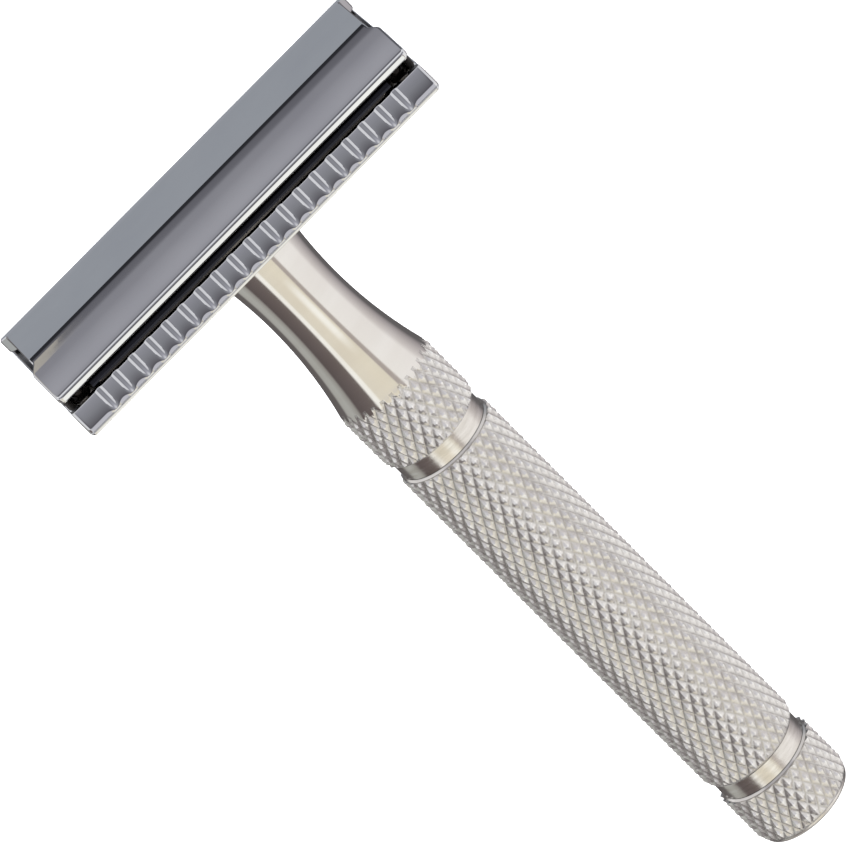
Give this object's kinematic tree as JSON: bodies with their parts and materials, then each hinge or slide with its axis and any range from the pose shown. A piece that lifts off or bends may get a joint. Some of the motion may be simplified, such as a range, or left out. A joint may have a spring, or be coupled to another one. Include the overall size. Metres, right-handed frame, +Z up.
{
  "type": "safety razor",
  "caption": "Double-edge safety razor: chromed closed-comb head with a removable blade, polished hollow-swept neck and a diamond-knurled steel handle with plain bands.",
  "frame": {"origin": "middle of the flat end of the handle, which the razor stands on", "axes": "+Z up the handle towards the head, X along the head and blade, Y across the head"},
  "size_m": [0.0434, 0.0242, 0.0874],
  "materials": {
    "head_chrome": "mirror-polished chrome plate",
    "neck_steel": "mirror-polished steel",
    "knurl_steel": "diamond knurled, satin",
    "band_steel": "fine turned",
    "stud_steel": "machined",
    "bush_brass": "machined",
    "blade_steel": "dark blued sheet with ground bright edges"
  },
  "bodies": {
    "handle": {"neck": "neck_steel", "thread_bush": "bush_brass", "front_band_ring": "band_steel", "grip_barrel": "knurl_steel", "rear_band_ring": "band_steel", "end_knob": "knurl_steel", "tie_rod": "stud_steel"},
    "plate": {"base_plate": "head_chrome"},
    "blade": {"double_edge_blade": "blade_steel"},
    "cap": {"top_cap": "head_chrome", "cap_stud": "stud_steel", "alignment_post_1": "stud_steel", "alignment_post_2": "stud_steel"}
  },
  "joints": [
    {"name": "head_unscrew", "type": "hinge", "parent": "handle", "child": "plate", "pos_m": [0, 0, 0.0821], "axis": [0, 0, 1], "range_deg": [0, 2880]},
    {"name": "cap_lift", "type": "slide", "parent": "plate", "child": "cap", "axis": [0, 0, 1], "range_m": [0, 0.00645]},
    {"name": "blade_lift", "type": "slide", "parent": "plate", "child": "blade", "axis": [0, 0, 1], "range_m": [0, 0.00325]}
  ],
  "couplings": [
    {"joint": "cap_lift", "follows": "head_unscrew", "m_per_rad": 0.00012732},
    {"joint": "blade_lift", "follows": "head_unscrew", "m_per_rad": 0.000063662}
  ]
}
